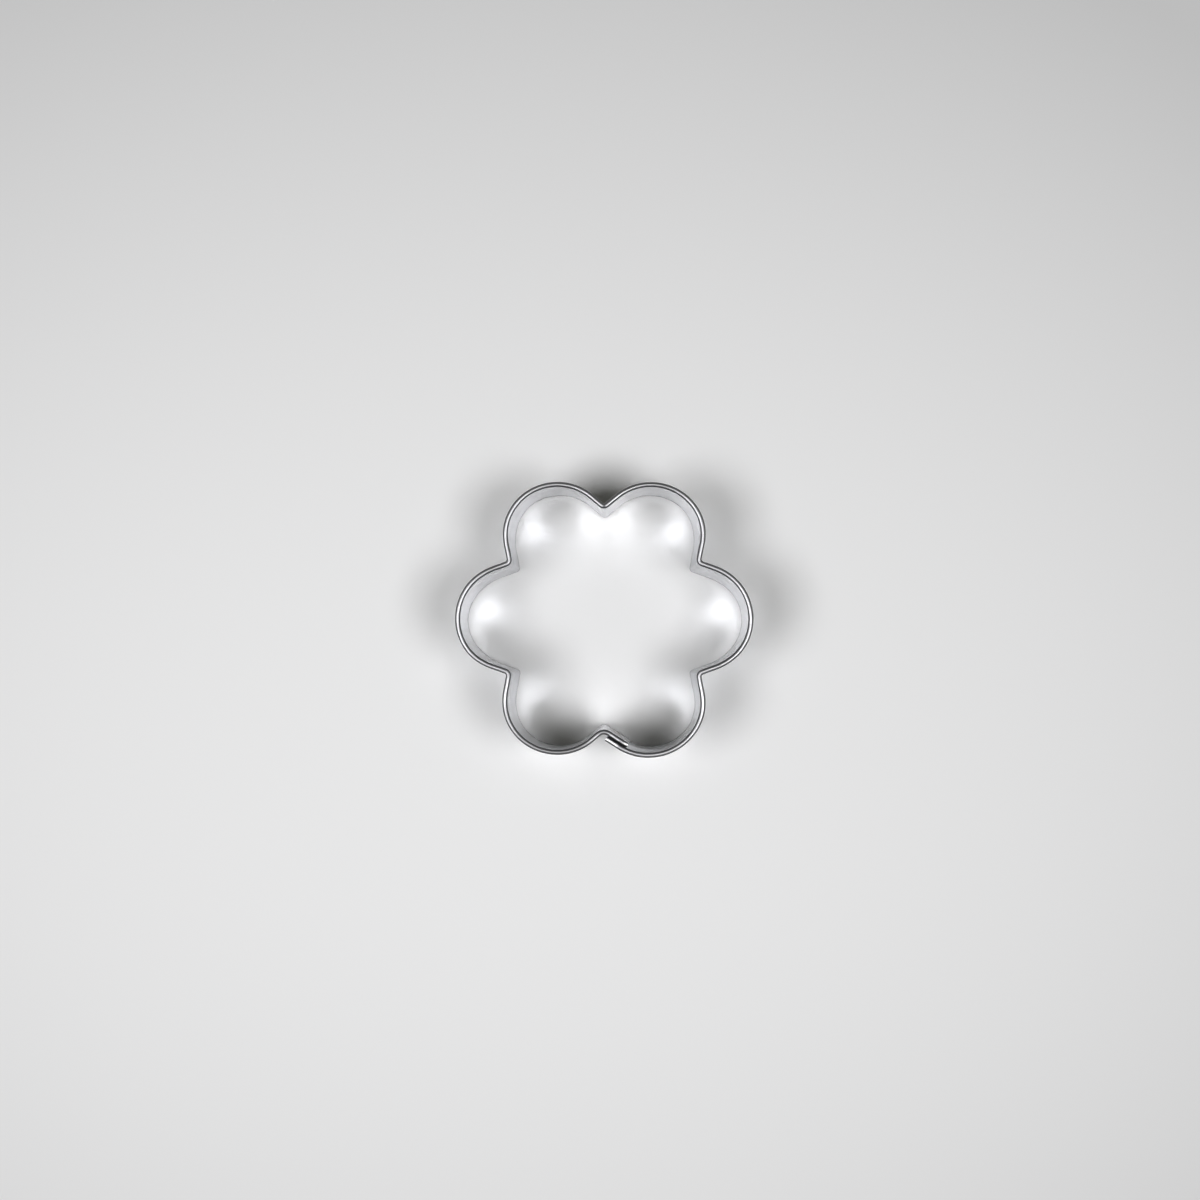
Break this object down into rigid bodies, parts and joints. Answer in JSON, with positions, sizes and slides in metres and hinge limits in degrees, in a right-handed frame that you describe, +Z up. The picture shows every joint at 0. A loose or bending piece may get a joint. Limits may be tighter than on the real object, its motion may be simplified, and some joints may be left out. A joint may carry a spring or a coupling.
{
  "type": "cookie cutter",
  "caption": "Flower-shaped cookie cutter: a thin steel strip bent on edge, with a rolled upper rim and lapped, spot-welded ends.",
  "frame": {"origin": "centre of the flower in the plane of the cutting edge", "axes": "+Z up from the cutting edge to the rolled rim, +X across two opposite petals, the lapped notch towards -Y"},
  "size_m": [0.06, 0.0555, 0.025],
  "materials": {
    "sheet_steel": "bright rolled stainless sheet",
    "weld_metal": "dull spot weld with a faint heat tint"
  },
  "bodies": {
    "root": {"cutter_band": "sheet_steel", "spot_weld_1": "weld_metal", "spot_weld_2": "weld_metal", "spot_weld_3": "weld_metal"}
  },
  "joints": []
}
